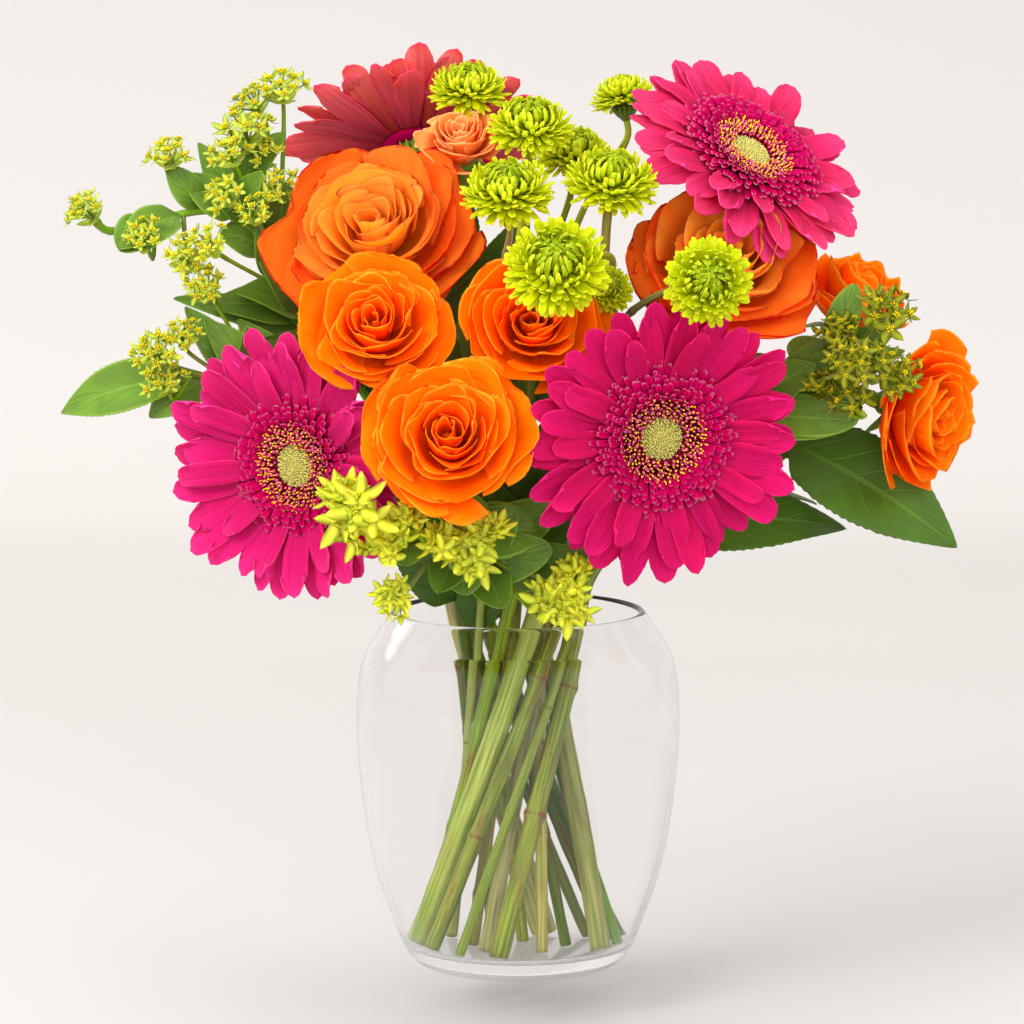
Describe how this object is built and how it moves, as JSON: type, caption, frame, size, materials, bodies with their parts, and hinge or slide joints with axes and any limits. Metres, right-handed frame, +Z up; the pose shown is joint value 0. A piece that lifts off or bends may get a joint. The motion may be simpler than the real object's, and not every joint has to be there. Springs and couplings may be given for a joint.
{
  "type": "gerberas in a vase",
  "caption": "Full-bellied clear glass vase of water with a mixed bunch: pink gerberas, orange roses, green button chrysanthemums and thorow-wax.",
  "frame": {"origin": "centre of the vase's foot, on the surface that it stands on", "axes": "+Z up; the side seen in the picture faces -Y, with +X to its right"},
  "size_m": [0.3856, 0.2523, 0.3894],
  "materials": {
    "clear_glass": "clear, smooth blown glass",
    "water": "clear, still water",
    "gerbera_petal": "hot pink, satin, lengthwise folds",
    "gerbera_disc": "khaki green, fuzzy florets",
    "orange_petal": "orange, soft satin",
    "two_tone_petal": "yellow orange with red-orange edges, soft satin",
    "button_petal": "lime green, matt",
    "thorow_wax": "yellow green, matt",
    "green_stem": "green, waxy"
  },
  "bodies": {
    "root": {"button_1": "button_petal", "button_2": "button_petal", "button_3": "button_petal", "button_4": "button_petal", "button_5": "button_petal", "button_6": "button_petal", "button_7": "button_petal", "button_8": "button_petal", "button_9": "button_petal", "button_back_stem": "green_stem", "button_left_stem": "green_stem", "button_right_stem": "green_stem", "gerbera_back_disc": "gerbera_disc", "gerbera_back_petals": "gerbera_petal", "gerbera_back_stem": "green_stem", "gerbera_front_left_disc": "gerbera_disc", "gerbera_front_left_petals": "gerbera_petal", "gerbera_front_left_stem": "green_stem", "gerbera_front_right_disc": "gerbera_disc", "gerbera_front_right_petals": "gerbera_petal", "gerbera_front_right_stem": "green_stem", "gerbera_right_top_disc": "gerbera_disc", "gerbera_right_top_petals": "gerbera_petal", "gerbera_right_top_stem": "green_stem", "rose_large_left": "two_tone_petal", "rose_large_left_stem": "green_stem", "rose_large_right": "two_tone_petal", "rose_large_right_stem": "green_stem", "rose_right": "orange_petal", "rose_right_back": "orange_petal", "rose_right_stem": "green_stem", "rose_small_top": "orange_petal", "rose_small_top_stem": "green_stem", "rose_spray_front": "orange_petal", "rose_spray_left_stem": "green_stem", "rose_spray_right_stem": "green_stem", "rose_spray_upper_left": "orange_petal", "rose_spray_upper_right": "orange_petal", "thorow_wax_front": "thorow_wax", "thorow_wax_left_lower": "thorow_wax", "thorow_wax_left_upper": "thorow_wax", "thorow_wax_right": "thorow_wax", "vase": "clear_glass", "water": "water"}
  },
  "joints": []
}
